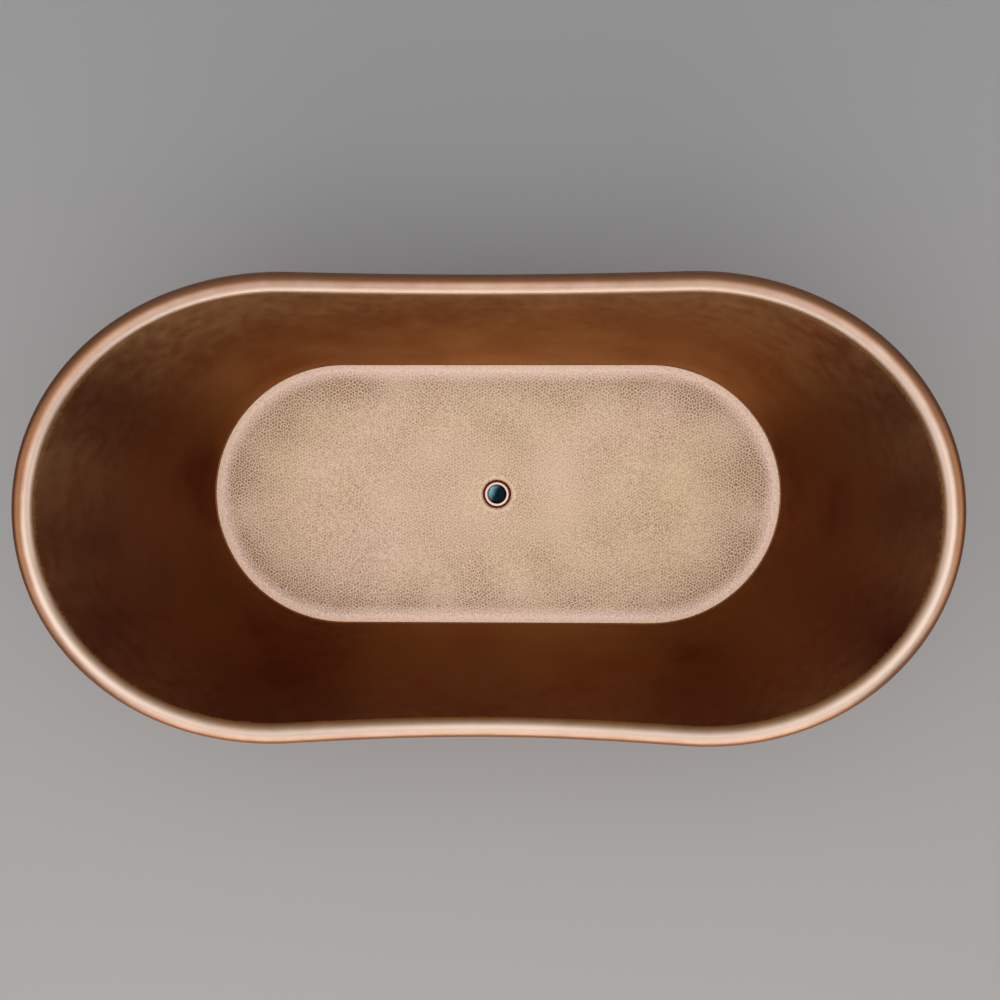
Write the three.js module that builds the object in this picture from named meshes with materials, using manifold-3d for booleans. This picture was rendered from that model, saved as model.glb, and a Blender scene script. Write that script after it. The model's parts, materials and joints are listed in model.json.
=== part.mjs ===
// Freestanding double-slipper copper bath, in millimetres, +Z up.
// The origin is on the floor, under the centre of the bath. X runs along its length.
// The basin is one lofted copper sheet between a racetrack-shaped floor pan and a rim that rises at
// both ends. The rim is a copper roll wrapped over steel tube. The basin stands on a coved copper
// plinth that hides a welded steel frame, four levelling feet and a push-to-open waste.
import * as THREE from "three";
import { mergeVertices } from "three/addons/utils/BufferGeometryUtils.js";
import Module from "manifold-3d";

const wasm = await Module();
wasm.setup();

// ---- Driving dimensions ----
const overallLength = 1830;
const overallWidth = 940;
const endHeight = 810; // top of the rim at both ends
const sideHeight = 620; // top of the rim half-way along
const copperSheet = 1.6; // walls, rim roll and plinth
const seat = 0.3; // gap left where two pieces touch

const rimDiameter = 44;
const rimEndStretch = 1.11; // each end of the rim runs this many half-widths past the straight side
const rimLean = 22; // degrees from upright, of the wall where it meets the rim roll
const rollEdgeGap = 1; // between the roll's free edge and the back of the wall
const coreTubeWall = 1.5;
const coreTubeClearance = 1; // between the steel tube and the roll round it

const floorLength = 1310; // across the seam between floor pan and wall
const floorWidth = 602;
const floorFall = 6; // from the pan's edge down to the waste
const floorSheet = 2;
const footCurveRadius = 12; // upturned edge of the floor pan
const wallLean = 10; // degrees from upright, of the wall where it leaves the floor pan

const plinthFlare = 34; // how far the plinth's foot stands out past its top
const plinthBand = 24; // height of the upright band at the plinth's top
const plinthFoot = 16; // height of the upright edge at the plinth's foot
const plinthLedge = 18; // width of the flat edge turned in on the floor
const plinthLap = 5; // how far the plinth laps above the seam
const beadRadius = 7;

const railHeight = 60;
const railWidth = 30;
const tubeWall = 2.5; // wall of the frame's hollow sections
const railInset = 56; // from the floor pan's seam in to a rail's centre line
const railEndClearance = 25; // from a rail's end to the curved end of the seam
const crossHeight = 40;
const crossInset = 35; // from a rail's end to the outer cross member
const wasteBay = 260; // clear length between the two inner cross members
const floorPadHeight = 12; // room for the rubber pads between the frame and the waste's level
const floorPadLength = 60;
const floorPadWidth = 24;
const floorPadInset = 80; // from a cross member's end to the middle of its pad

const cleatInset = 125; // from the end of the plinth's straight side to the middle of a cleat
const cleatDrop = 10; // from the top of the rail to the top of the cleat
const cleatWidth = 40;
const cleatSheet = 3;
const cleatHeight = 34; // of the leg bolted to the rail
const cleatTurnDown = 14; // height of the leg that lies against the plinth
const boltDiameter = 6;
const boltReach = 8; // past the rail's wall
const boltHeadHeight = 4;
const boltHeadRim = 2; // how far the head's flats stand out past the shank

const footTravel = 15; // how far a levelling foot screws down
const footInset = 40; // from a rail's end to a levelling foot
const studDiameter = 12;
const studRise = 38; // how far a stud stands up inside its rail
const collarHeight = 8;
const collarRim = 6; // how far the collar's flats stand out past the stud
const footPadRadius = 26;
const footPadHeight = 10;
const footPadBrim = 3; // how far the pad's top stands out past the collar's corners
const weldNutHeight = 11;
const weldNutRim = 3.5;

const plugDiameter = 44;
const plugTravel = 10;
const plugEdgeHeight = 4;
const plugCrown = 2; // rise of the dome above its edge
const plugClearance = 0.5; // round the plug, in the mouth of the waste
const plugSealHeight = 2;
const bossClearance = 5.4; // round the plug's boss, in the ledge
const seatLedgeWidth = 3.6; // ledge in the waste that the plug's seal rests on
const seatLedgeHeight = 2.4;
const mouthWall = 1.7; // of the waste round the plug
const wasteFlangeWidth = 4.3;
const wasteFlangeHeight = 3;
const wasteFlangeChamfer = 1.2;
const wasteTubeWall = 2.8;
const topSealShow = 5; // how far the seal stands out past the flange
const topSealHeight = 1.8;
const recessClearance = 1.2; // round the top seal, in the floor pan's pressed recess
const recessSlope = 1; // how far the recess's side leans out
const gasketHeight = 4;
const frictionWasherHeight = 1.5;
const wasteNutHeight = 10;
const wasteNutWall = 6.8;
const tailPipeStep = 4.2; // from the waste tube's outside in to the tail pipe's
const tailPipeWall = 1.8;
const tailPipeEnd = 10; // height of its cut end above the floor
const tailFlareHeight = 2;
const tailWasherHeight = 3;
const tailNutHeight = 14;
const tailNutLip = 4;
const tailNutWall = 4;
const hubHeight = 4; // the cross in the waste that carries the cartridge
const hubWall = 3;
const hubDrop = 12; // from the hub's underside to the waste tube's end
const armWidth = 4;
const cartridgeRadius = 8.5;
const cartridgeWall = 2.2;
const cartridgeGap = 3; // from the cartridge's top to the plug's boss
const cartridgeBelowHub = 8;
const shoulderHeight = 2;
const stemRadius = 4;
const plungerHeight = 4;
const springLength = 8; // with the plug shut
const springWire = 1.1;
const springTurns = 4;

// Fineness of the faceted curves.
const stationsPerEnd = 16;
const stationsPerSide = 8;
const wallLevels = 8;
const rollSegments = 12;
const coreSides = 6;
const coveLevels = 4;
const curveLevels = 4; // in the floor pan's upturned edge
const beadSegments = 4;
const domeLevels = 4;
const roundSides = 20;
const smallSides = 10;
const padSides = 16;

// ---- Materials ----
const copperDark = metal(0x4a2412, 0.45);
const copperBright = metal(0xd9ab8a, 0.35);
const copperPolished = metal(0xc98e66, 0.25);
const plugDark = metal(0x1d2a30, 0.12);
const steel = metal(0x9da1a4, 0.4);
const brass = metal(0xb79a52, 0.35);
const rubber = new THREE.MeshStandardMaterial({ color: 0x1b1b1b, roughness: 0.9, metalness: 0 });
const sealRed = new THREE.MeshStandardMaterial({ color: 0x4a1a0c, roughness: 0.7, metalness: 0 });

function metal(color, roughness) {
  return new THREE.MeshStandardMaterial({ color, roughness, metalness: 1 });
}

// ---- Helpers for solids ----
const bath = new THREE.Group();
const upwards = new THREE.Vector3(0, 0, 1);
const mix = (a, b, t) => a + (b - a) * t;
const radians = (degrees) => (degrees * Math.PI) / 180;

function add(name, geometry, material) {
  const mesh = new THREE.Mesh(geometry, material);
  mesh.name = name;
  bath.add(mesh);
  return mesh;
}

function signedVolume(geometry) {
  const corners = [new THREE.Vector3(), new THREE.Vector3(), new THREE.Vector3()];
  const positions = geometry.getAttribute("position");
  const index = geometry.getIndex().array;
  let sum = 0;
  for (let i = 0; i < index.length; i += 3) {
    corners.forEach((corner, n) => corner.fromBufferAttribute(positions, index[i + n]));
    sum += corners[0].dot(corners[1].cross(corners[2])) / 6;
  }
  return sum;
}

// A solid ring: each row is its section at one station, and rows and sections close on themselves.
function closedGrid(rows) {
  const width = rows[0].length;
  const index = rows.flatMap((row, i) => {
    const here = i * width;
    const there = ((i + 1) % rows.length) * width;
    return row.flatMap((_, j) => {
      const next = (j + 1) % width;
      return [here + j, there + j, there + next, here + j, there + next, here + next];
    });
  });
  const geometry = new THREE.BufferGeometry();
  geometry.setAttribute(
    "position",
    new THREE.Float32BufferAttribute(rows.flat().flatMap((point) => point.toArray()), 3),
  );
  geometry.setIndex(index);
  if (signedVolume(geometry) < 0) geometry.setIndex(index.reverse());
  geometry.computeVertexNormals();
  return geometry;
}

// The back of a sheet: each point of its face moved square to it, mitred at bends.
function backOf(face, thickness) {
  return face.map((row, i) => {
    const before = face[(i + face.length - 1) % face.length];
    const after = face[(i + 1) % face.length];
    return row.map((point, j) => {
      const around = after[j].clone().sub(before[j]);
      const squareTo = (from, to) => around.clone().cross(to.clone().sub(from)).normalize();
      const first = squareTo(row[Math.max(j - 1, 0)], row[Math.max(j, 1)]);
      const last = row.length - 1;
      const second = squareTo(row[Math.min(j, last - 1)], row[Math.min(j + 1, last)]);
      const step = first.clone().add(second).divideScalar(1 + first.dot(second));
      return point.clone().addScaledVector(step, thickness);
    });
  });
}

// A ring of sheet metal, from the face that runs up out of the basin's middle, over its rim and
// down its outside.
function sheetRing(face, thickness) {
  const back = backOf(face, thickness);
  return closedGrid(face.map((row, i) => [...row, ...back[i].reverse()]));
}

function toSolid(geometry) {
  const plain = geometry.clone();
  plain.deleteAttribute("normal");
  plain.deleteAttribute("uv");
  const merged = mergeVertices(plain, 1e-4);
  const vertProperties = new Float32Array(merged.getAttribute("position").array);
  const triVerts = new Uint32Array(merged.getIndex().array);
  return new wasm.Manifold(new wasm.Mesh({ numProp: 3, vertProperties, triVerts }));
}

function toGeometry(solid) {
  const mesh = solid.getMesh();
  const geometry = new THREE.BufferGeometry();
  geometry.setAttribute("position", new THREE.Float32BufferAttribute(mesh.vertProperties, 3));
  geometry.setIndex(new THREE.Uint32BufferAttribute(mesh.triVerts, 1));
  geometry.computeVertexNormals();
  return geometry;
}

function cut(blank, ...tools) {
  return toGeometry(tools.reduce((solid, tool) => solid.subtract(toSolid(tool)), toSolid(blank)));
}

function join(...parts) {
  return toGeometry(parts.map(toSolid).reduce((solid, part) => solid.add(part)));
}

// A turned piece standing on Z. Its profile is [radius, height] pairs, anticlockwise as seen with
// the axis on the left. It closes on itself, or starts and ends on the axis.
function turned(profile, sides = roundSides) {
  const points = profile.map(([radius, height]) => new THREE.Vector2(radius, height));
  if (points[0].x > 0) points.push(points[0].clone());
  return new THREE.LatheGeometry(points, sides).rotateX(Math.PI / 2);
}

function collar(inner, outer, bottom, top, sides = roundSides) {
  const section = [
    [inner, bottom],
    [outer, bottom],
    [outer, top],
    [inner, top],
  ];
  return turned(section, sides);
}

function rod(radius, bottom, top, sides = smallSides) {
  const pin = new THREE.CylinderGeometry(radius, radius, top - bottom, sides).rotateX(Math.PI / 2);
  return pin.translate(0, 0, (top + bottom) / 2);
}

function polygon(radius, sides) {
  const shape = new THREE.Shape();
  for (let i = 0; i < sides; i++) {
    const angle = (2 * Math.PI * i) / sides;
    shape[i ? "lineTo" : "moveTo"](radius * Math.cos(angle), radius * Math.sin(angle));
  }
  return shape.closePath();
}

// A hexagon bar or nut, standing on z = bottom.
function hexagon(across, bottom, top, holeRadius = 0, holeSides = smallSides) {
  const outline = polygon(across / Math.sqrt(3), 6);
  if (holeRadius) outline.holes.push(polygon(holeRadius, holeSides));
  const bar = new THREE.ExtrudeGeometry(outline, { depth: top - bottom, bevelEnabled: false });
  return bar.translate(0, 0, bottom);
}

function rectangle(width, height) {
  const shape = new THREE.Shape();
  shape.moveTo(-width / 2, -height / 2);
  shape.lineTo(width / 2, -height / 2);
  shape.lineTo(width / 2, height / 2);
  shape.lineTo(-width / 2, height / 2);
  return shape.closePath();
}

// A rectangular hollow section along X, centred on the origin.
function hollowSection(length, width, height) {
  const outline = rectangle(width, height);
  outline.holes.push(rectangle(width - 2 * tubeWall, height - 2 * tubeWall));
  const bar = new THREE.ExtrudeGeometry(outline, { depth: length, bevelEnabled: false });
  return bar.translate(0, 0, -length / 2).rotateY(Math.PI / 2).rotateX(Math.PI / 2);
}

// Where a line from a point first meets a piece.
function firstHit(mesh, point, direction) {
  return new THREE.Raycaster(point, direction).intersectObject(mesh)[0];
}

// ---- Plan of the bath ----
// Stations run round the bath: across one rounded end, along one straight side, and again.
const stations = [1, -1].flatMap((half) => [
  ...Array.from({ length: stationsPerEnd }, (_, i) => ({ half, turn: i / stationsPerEnd - 0.5 })),
  ...Array.from({ length: stationsPerSide }, (_, i) => ({ half, along: 1 - (2 * i) / stationsPerSide })),
]);

// The point and outward normal, at a station, of an oval with half-ellipse ends.
function ovalAt({ half, turn, along }, halfLength, halfWidth, stretch = 1) {
  const reach = halfWidth * stretch;
  const straight = halfLength - reach;
  const point = new THREE.Vector3(straight * along, halfWidth, 0);
  const normal = new THREE.Vector3(0, 1, 0);
  if (turn !== undefined) {
    const angle = Math.PI * turn;
    point.set(straight + reach * Math.cos(angle), halfWidth * Math.sin(angle), 0);
    normal.set(Math.cos(angle) / reach, Math.sin(angle) / halfWidth, 0).normalize();
  }
  return { point: point.multiplyScalar(half), normal: normal.multiplyScalar(half) };
}

// ---- Heights, from the floor up ----
const collarBottom = footPadHeight + seat;
const weldNutBottom = collarBottom + collarHeight + seat;
const railBottom = weldNutBottom + weldNutHeight + seat;
const railTop = railBottom + railHeight;
const drainHeight = railTop + floorPadHeight + floorSheet; // top of the floor pan round the waste
const floorEdgeHeight = drainHeight + floorFall;
const curveTurn = 90 - wallLean; // degrees that the pan's edge turns up through
const curveReach = footCurveRadius * Math.sin(radians(curveTurn));
const seamHeight = floorEdgeHeight + footCurveRadius * (1 - Math.cos(radians(curveTurn)));
const plinthTop = seamHeight + plinthLap;

// ---- Rim ----
const rimRadius = rimDiameter / 2;
const rimHalfLength = overallLength / 2 - rimRadius;
const rimHalfWidth = overallWidth / 2 - rimRadius;

// The rim's saddle: level at the middle of each side and at both ends.
function rimHeight(x) {
  const share = (1 - Math.cos((Math.PI * x) / rimHalfLength)) / 2;
  return mix(sideHeight, endHeight, share) - rimRadius;
}

function rimSlope(x) {
  const rate = Math.PI / rimHalfLength;
  return ((endHeight - sideHeight) / 2) * rate * Math.sin(rate * x);
}

// The roll's centre at a station, with the outward and upward directions of its section.
function rimFrame(station) {
  const { point, normal } = ovalAt(station, rimHalfLength, rimHalfWidth, rimEndStretch);
  const forward = new THREE.Vector3(-normal.y, normal.x, -normal.y * rimSlope(point.x)).normalize();
  const up = normal.clone().cross(forward).normalize();
  return { centre: point.setZ(rimHeight(point.x)), out: normal, up };
}

const rimFrames = stations.map(rimFrame);

// A point of the rim's section, by its angle from straight out, anticlockwise.
function onRoll({ centre, out, up }, radius, degrees) {
  const angle = radians(degrees);
  const point = centre.clone().addScaledVector(out, radius * Math.cos(angle));
  return point.addScaledVector(up, radius * Math.sin(angle));
}

const rollStart = 180 - rimLean; // where the wall runs into the roll
const freeEdge = Math.acos((rimRadius - copperSheet - rollEdgeGap) / rimRadius);
const rollSweep = 360 - (freeEdge * 180) / Math.PI; // to where the roll comes round to the wall

function rollArc(frame, radius) {
  return Array.from({ length: rollSegments + 1 }, (_, i) =>
    onRoll(frame, radius, rollStart - (rollSweep * i) / rollSegments),
  );
}

function rollSection(frame) {
  return [...rollArc(frame, rimRadius), ...rollArc(frame, rimRadius - copperSheet).reverse()];
}
add("rim_roll", closedGrid(rimFrames.map(rollSection)), copperPolished);

// The roll's flat facets come nearer to its centre than its corners do.
const rollInside = (rimRadius - copperSheet) * Math.cos(radians(rollSweep / rollSegments / 2));
const coreRadius = rollInside - coreTubeClearance / 2;

// Half of the steel tube in the roll, open where it butts on the other half beside the waist.
function coreTube(half) {
  const sideMiddle = stationsPerEnd + stationsPerSide / 2;
  const first = half > 0 ? sideMiddle - stations.length / 2 : sideMiddle;
  const frames = Array.from(
    { length: stations.length / 2 + 1 },
    (_, i) => rimFrames[(first + i + stations.length) % stations.length],
  );
  const wallAt = (degrees) => {
    const outside = frames.map((frame) => onRoll(frame, coreRadius, degrees));
    const inside = frames.map((frame) => onRoll(frame, coreRadius - coreTubeWall, degrees));
    for (const end of [outside.at(0), outside.at(-1), inside.at(0), inside.at(-1)]) {
      end.x += (half * seat) / 2;
    }
    return [...outside, ...inside.reverse()];
  };
  return closedGrid(Array.from({ length: coreSides }, (_, j) => wallAt(rollStart - (360 * j) / coreSides)));
}
add("rim_core_tube_right", coreTube(1), steel);
add("rim_core_tube_left", coreTube(-1), steel);

// ---- Basin wall ----
const floorHalfLength = floorLength / 2;
const floorHalfWidth = floorWidth / 2;
const floorStraight = floorHalfLength - floorHalfWidth; // half of the straight side

function leaning(out, up, degrees) {
  const lean = radians(degrees);
  return up.clone().multiplyScalar(Math.cos(lean)).addScaledVector(out, Math.sin(lean));
}

// The wall's bath-side face at one station: a curve that leaves the floor pan at its lean and runs
// smoothly into the roll.
function wallLine(station, i) {
  const { point: foot, normal } = ovalAt(station, floorHalfLength, floorHalfWidth);
  const top = onRoll(rimFrames[i], rimRadius, rollStart);
  const footWay = leaning(normal, upwards, wallLean);
  const rimWay = leaning(rimFrames[i].out, rimFrames[i].up, rimLean);
  foot.setZ(seamHeight).addScaledVector(footWay, seat);
  top.addScaledVector(rimWay, -seat);
  const handle = foot.distanceTo(top) / 3;
  const line = new THREE.CubicBezierCurve3(
    foot,
    foot.clone().addScaledVector(footWay, handle),
    top.clone().addScaledVector(rimWay, -handle),
    top,
  );
  return line.getPoints(wallLevels);
}
add("basin_wall", sheetRing(stations.map(wallLine), copperSheet), copperDark);

// ---- Floor pan ----
const plugRadius = plugDiameter / 2;
const mouthRadius = plugRadius + plugClearance;
const wasteTubeRadius = mouthRadius + mouthWall;
const wasteBore = wasteTubeRadius + 2 * seat; // of all that the waste tube passes through
const flangeRadius = wasteTubeRadius + wasteFlangeWidth;
const topSealRadius = flangeRadius + topSealShow;
const recessRadius = topSealRadius + recessClearance;
const recessHeight = drainHeight - wasteFlangeHeight - topSealHeight - 2 * seat;

// A circle round the waste, with its points on the same bearings as the oval's.
function roundWaste(station, radius, height) {
  const { point } = ovalAt(station, floorHalfLength, floorHalfWidth);
  return point.setLength(radius).setZ(height);
}

// The pan's bath-side face at one station, from the waste hole out to the seam.
function panLine(station) {
  const upturn = Array.from({ length: curveLevels + 1 }, (_, i) => {
    const turn = radians((curveTurn * i) / curveLevels);
    const inset = curveReach - footCurveRadius * Math.sin(turn);
    const height = floorEdgeHeight + footCurveRadius * (1 - Math.cos(turn));
    return ovalAt(station, floorHalfLength - inset, floorHalfWidth - inset).point.setZ(height);
  });
  const brink = roundWaste(station, recessRadius + recessSlope, drainHeight);
  return [
    roundWaste(station, wasteBore, recessHeight),
    roundWaste(station, recessRadius, recessHeight),
    brink,
    brink.clone().lerp(upturn[0], 0.5),
    ...upturn,
  ];
}
const floorPan = add("floor_pan", sheetRing(stations.map(panLine), floorSheet), copperBright);

// ---- Plinth ----
// The plinth's inner face stands just off the wall's back where it laps over it.
const plinthInset = seat + copperSheet + (plinthLap + copperSheet) * Math.tan(radians(wallLean));
const plinthOut = plinthInset + copperSheet; // from the seam to the plinth's upright outer face
const coveTop = plinthTop - plinthBand;

function plinthLine(station) {
  const at = (out, height) =>
    ovalAt(station, floorHalfLength + out, floorHalfWidth + out).point.setZ(height);
  const cove = Array.from({ length: coveLevels + 1 }, (_, i) => {
    const share = i / coveLevels;
    const out = plinthOut + plinthFlare * (1 - Math.cos((Math.PI / 2) * share));
    return at(out, mix(coveTop, plinthFoot, share));
  });
  const footOut = plinthOut + plinthFlare;
  return [at(plinthOut, plinthTop), ...cove, at(footOut, 0), at(footOut - plinthLedge, 0)];
}
const plinth = add("plinth_skirt", sheetRing(stations.map(plinthLine), copperSheet), copperDark);

// The half-round bead over the plinth's top edge.
function beadSection(station) {
  return Array.from({ length: beadSegments + 1 }, (_, i) => {
    const angle = Math.PI * (i / beadSegments - 0.5);
    const out = plinthOut + seat + beadRadius * Math.cos(angle);
    const height = plinthTop - beadRadius + beadRadius * Math.sin(angle);
    return ovalAt(station, floorHalfLength + out, floorHalfWidth + out).point.setZ(height);
  });
}
add("plinth_bead", closedGrid(stations.map(beadSection)), copperPolished);

// ---- Steel frame under the floor pan ----
const railMiddle = floorHalfWidth - railInset; // from the bath's axis to a rail's centre line
const railFace = railMiddle + railWidth / 2 + seat;
const railEnd = floorStraight + Math.sqrt(floorHalfWidth ** 2 - railFace ** 2) - railEndClearance;
const footMiddle = railEnd - footInset;
const cleatMiddle = floorStraight - cleatInset;
const cleatTop = railTop - cleatDrop;
const boltHeight = cleatTop - cleatSheet - cleatHeight / 2;
const studHoleRadius = studDiameter / 2 + 2 * seat;
const boltHoleRadius = boltDiameter / 2 + seat;
const sides = { left: -1, right: 1 };
const rows = { front: -1, back: 1 };

// A rail with holes in its lower wall for the levelling studs, and in its outer wall for the bolts.
function railGeometry(row) {
  const bar = hollowSection(2 * railEnd, railWidth, railHeight).translate(0, 0, railBottom + railHeight / 2);
  const outerWall = (row * (railWidth - tubeWall)) / 2;
  const holes = Object.values(sides).flatMap((side) => [
    rod(studHoleRadius, railBottom - 1, railBottom + tubeWall + 1).translate(side * footMiddle, 0, 0),
    rod(boltHoleRadius, -tubeWall, tubeWall)
      .rotateX(Math.PI / 2)
      .translate(side * cleatMiddle, outerWall, boltHeight),
  ]);
  return cut(bar, ...holes);
}

for (const [rowName, row] of Object.entries(rows)) {
  add(`frame_rail_${rowName}`, railGeometry(row), steel).position.y = row * railMiddle;
}

const crossEnd = railMiddle - railWidth / 2 - seat;
const crossMiddles = { inner: (wasteBay + railWidth) / 2, outer: railEnd - crossInset - railWidth / 2 };
const padMiddle = crossEnd - floorPadInset;

// A pad is cut to its height where the pan, which falls towards the waste, is lowest over it.
function padHeight(x, y) {
  const inward = new THREE.Vector3(x - floorPadWidth / 2, y - floorPadLength / 2, railTop);
  return firstHit(floorPan, inward, upwards).distance - 2 * seat;
}

for (const [place, x] of Object.entries(crossMiddles)) {
  const height = padHeight(x, padMiddle);
  for (const [sideName, side] of Object.entries(sides)) {
    const bar = hollowSection(2 * crossEnd, railWidth, crossHeight).rotateZ(Math.PI / 2);
    const cross = add(`frame_cross_${place}_${sideName}`, bar, steel);
    cross.position.set(side * x, 0, railTop - crossHeight / 2);
    for (const [rowName, row] of Object.entries(rows)) {
      const block = new THREE.BoxGeometry(floorPadWidth, floorPadLength, height);
      const pad = add(`floor_pad_${place}_${rowName}_${sideName}`, block, rubber);
      pad.position.set(side * x, row * padMiddle, railTop + seat + height / 2);
    }
  }
}

// ---- Cleats that tie the plinth to the rails ----
const cleatStart = new THREE.Vector3(cleatMiddle, railFace, cleatTop);
const plinthHit = firstHit(plinth, cleatStart, new THREE.Vector3(0, 1, 0));

// A bent strip: down the rail's face, across to the plinth and down along the plinth's cove.
function cleatGeometry() {
  const reach = plinthHit.distance - seat;
  const { y, z } = plinthHit.face.normal;
  const flare = (cleatTurnDown * z) / y;
  const shape = new THREE.Shape();
  shape.moveTo(0, 0);
  shape.lineTo(0, -cleatHeight);
  shape.lineTo(cleatSheet, -cleatHeight);
  shape.lineTo(cleatSheet, -cleatSheet);
  shape.lineTo(reach - cleatSheet, -cleatSheet);
  shape.lineTo(reach + flare - cleatSheet, -cleatTurnDown);
  shape.lineTo(reach + flare, -cleatTurnDown);
  shape.lineTo(reach, 0);
  const strip = new THREE.ExtrudeGeometry(shape.closePath(), { depth: cleatWidth, bevelEnabled: false });
  // Stand the strip up, so that it reaches out along Y and is as wide along X.
  strip.translate(0, 0, -cleatWidth / 2).rotateX(Math.PI / 2).rotateZ(Math.PI / 2);
  const hole = rod(boltHoleRadius, -1, cleatSheet + 1).rotateX(-Math.PI / 2);
  return cut(strip, hole.translate(0, 0, boltHeight - cleatTop)).translate(0, 0, cleatTop);
}

function boltGeometry() {
  const under = cleatSheet + seat; // the head's underside, from the rail's face
  const head = hexagon(boltDiameter + 2 * boltHeadRim, under, under + boltHeadHeight);
  const shank = rod(boltDiameter / 2, -tubeWall - boltReach, under + boltHeadHeight / 2);
  return join(head, shank).rotateX(-Math.PI / 2).translate(0, 0, boltHeight);
}

// ---- Levelling feet ----
const collarAcross = studDiameter + 2 * collarRim;
const socketFloor = footPadHeight / 2; // how deep the stud stands in its pad
const studFit = studDiameter / 2 + seat;

function studGeometry() {
  const grip = hexagon(collarAcross, collarBottom, collarBottom + collarHeight);
  const stud = rod(studDiameter / 2, socketFloor, railBottom + studRise);
  return join(grip, stud);
}

function footPadGeometry() {
  const topRadius = Math.min(collarAcross / Math.sqrt(3) + footPadBrim, footPadRadius);
  const profile = [
    [0, 0],
    [footPadRadius, 0],
    [footPadRadius, socketFloor],
    [topRadius, footPadHeight],
    [studFit, footPadHeight],
    [studFit, socketFloor - seat],
    [0, socketFloor - seat],
  ];
  return turned(profile, padSides);
}

for (const [rowName, row] of Object.entries(rows)) {
  for (const [sideName, side] of Object.entries(sides)) {
    const corner = `${rowName}_${sideName}`;
    const weldNut = hexagon(
      studDiameter + 2 * (2 * seat + weldNutRim),
      weldNutBottom,
      weldNutBottom + weldNutHeight,
      studHoleRadius,
    );
    for (const piece of [
      add(`foot_pad_${corner}`, footPadGeometry(), rubber),
      add(`foot_stud_${corner}`, studGeometry(), steel),
      add(`foot_nut_${corner}`, weldNut, steel),
    ]) {
      piece.position.set(side * footMiddle, row * railMiddle, 0);
    }
    for (const piece of [
      add(`cleat_${corner}`, cleatGeometry(), steel),
      add(`cleat_bolt_${corner}`, boltGeometry(), steel),
    ]) {
      piece.position.set(side * cleatMiddle, row * railFace, 0);
      piece.rotation.z = row > 0 ? 0 : Math.PI;
    }
  }
}

// ---- Waste: heights from the flange down ----
const flangeBottom = drainHeight - wasteFlangeHeight;
const plugSealTop = drainHeight - plugEdgeHeight - seat;
const plugSealBottom = plugSealTop - plugSealHeight;
const ledgeTop = plugSealBottom - seat;
const ledgeBottom = ledgeTop - seatLedgeHeight;
const cartridgeTop = ledgeBottom - cartridgeGap;
const lidBottom = cartridgeTop - cartridgeWall;
const plungerTop = lidBottom - plugTravel - 2 * seat;
const plungerBottom = plungerTop - plungerHeight;
const cavityBottom = plungerBottom - springLength;
const cartridgeBottom = cavityBottom - cartridgeWall;
const hubBottom = cartridgeBottom + cartridgeBelowHub;
const hubTop = hubBottom + hubHeight;
const tubeEnd = hubBottom - hubDrop;

const ledgeRadius = mouthRadius - seatLedgeWidth;
const tubeBore = wasteTubeRadius - wasteTubeWall;
const hubBore = cartridgeRadius + seat;
const hubRadius = hubBore + hubWall;

// Flange, threaded tube, seat for the plug, and the four-armed cross that carries the cartridge.
function wasteBody() {
  const tube = turned([
    [mouthRadius, ledgeTop],
    [ledgeRadius, ledgeTop],
    [ledgeRadius, ledgeBottom],
    [tubeBore, ledgeBottom - (tubeBore - ledgeRadius) / 2],
    [tubeBore, tubeEnd],
    [wasteTubeRadius, tubeEnd],
    [wasteTubeRadius, flangeBottom],
    [flangeRadius, flangeBottom],
    [flangeRadius, drainHeight - wasteFlangeChamfer],
    [flangeRadius - wasteFlangeChamfer, drainHeight],
    [mouthRadius, drainHeight],
  ]);
  const hub = collar(hubBore, hubRadius, hubBottom, hubTop, padSides);
  const armStart = hubRadius - hubWall / 2;
  const armLength = tubeBore + wasteTubeWall / 2 - armStart;
  const arms = Array.from({ length: 4 }, (_, quarter) => {
    const arm = new THREE.BoxGeometry(armLength, armWidth, hubHeight);
    arm.translate(armStart + armLength / 2, 0, hubBottom + hubHeight / 2);
    return arm.rotateZ((quarter * Math.PI) / 2);
  });
  return join(tube, hub, ...arms);
}
add("waste_body", wasteBody(), copperPolished);

// Pieces stacked down the tube under the flange, each just clear of the one above.
const topSealTop = flangeBottom - seat;
add("waste_top_seal", collar(wasteBore, topSealRadius, topSealTop - topSealHeight, topSealTop), sealRed);
const gasketTop = recessHeight - floorSheet - seat;
const gasketBottom = gasketTop - gasketHeight;
add("waste_gasket", collar(wasteBore, recessRadius, gasketBottom, gasketTop), rubber);
const washerTop = gasketBottom - seat;
const washerBottom = washerTop - frictionWasherHeight;
add("waste_friction_washer", collar(wasteBore, recessRadius, washerBottom, washerTop), brass);
const wasteNutTop = washerBottom - seat;
const wasteNutAcross = 2 * (wasteBore + wasteNutWall);
add(
  "waste_nut",
  hexagon(wasteNutAcross, wasteNutTop - wasteNutHeight, wasteNutTop, wasteBore, roundSides),
  brass,
);

// The tail pipe hangs on the tube's end by its flare, a washer and a coupling nut.
const tailPipeRadius = wasteTubeRadius - tailPipeStep;
const tailPipeBore = tailPipeRadius - tailPipeWall;
const tailClearance = tailPipeRadius + 2 * seat;
const flareTop = tubeEnd - seat;
const flareBottom = flareTop - tailFlareHeight;
const tailWasherTop = flareBottom - seat;
const tailWasherBottom = tailWasherTop - tailWasherHeight;
const lipTop = tailWasherBottom - seat;
const lipBottom = lipTop - tailNutLip;
add(
  "tail_pipe",
  turned([
    [tailPipeBore, tailPipeEnd],
    [tailPipeRadius, tailPipeEnd],
    [tailPipeRadius, flareBottom],
    [wasteTubeRadius, flareBottom],
    [wasteTubeRadius, flareTop],
    [tailPipeBore, flareTop],
  ]),
  copperPolished,
);
add("tail_washer", collar(tailClearance, wasteTubeRadius, tailWasherBottom, tailWasherTop), rubber);
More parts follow.
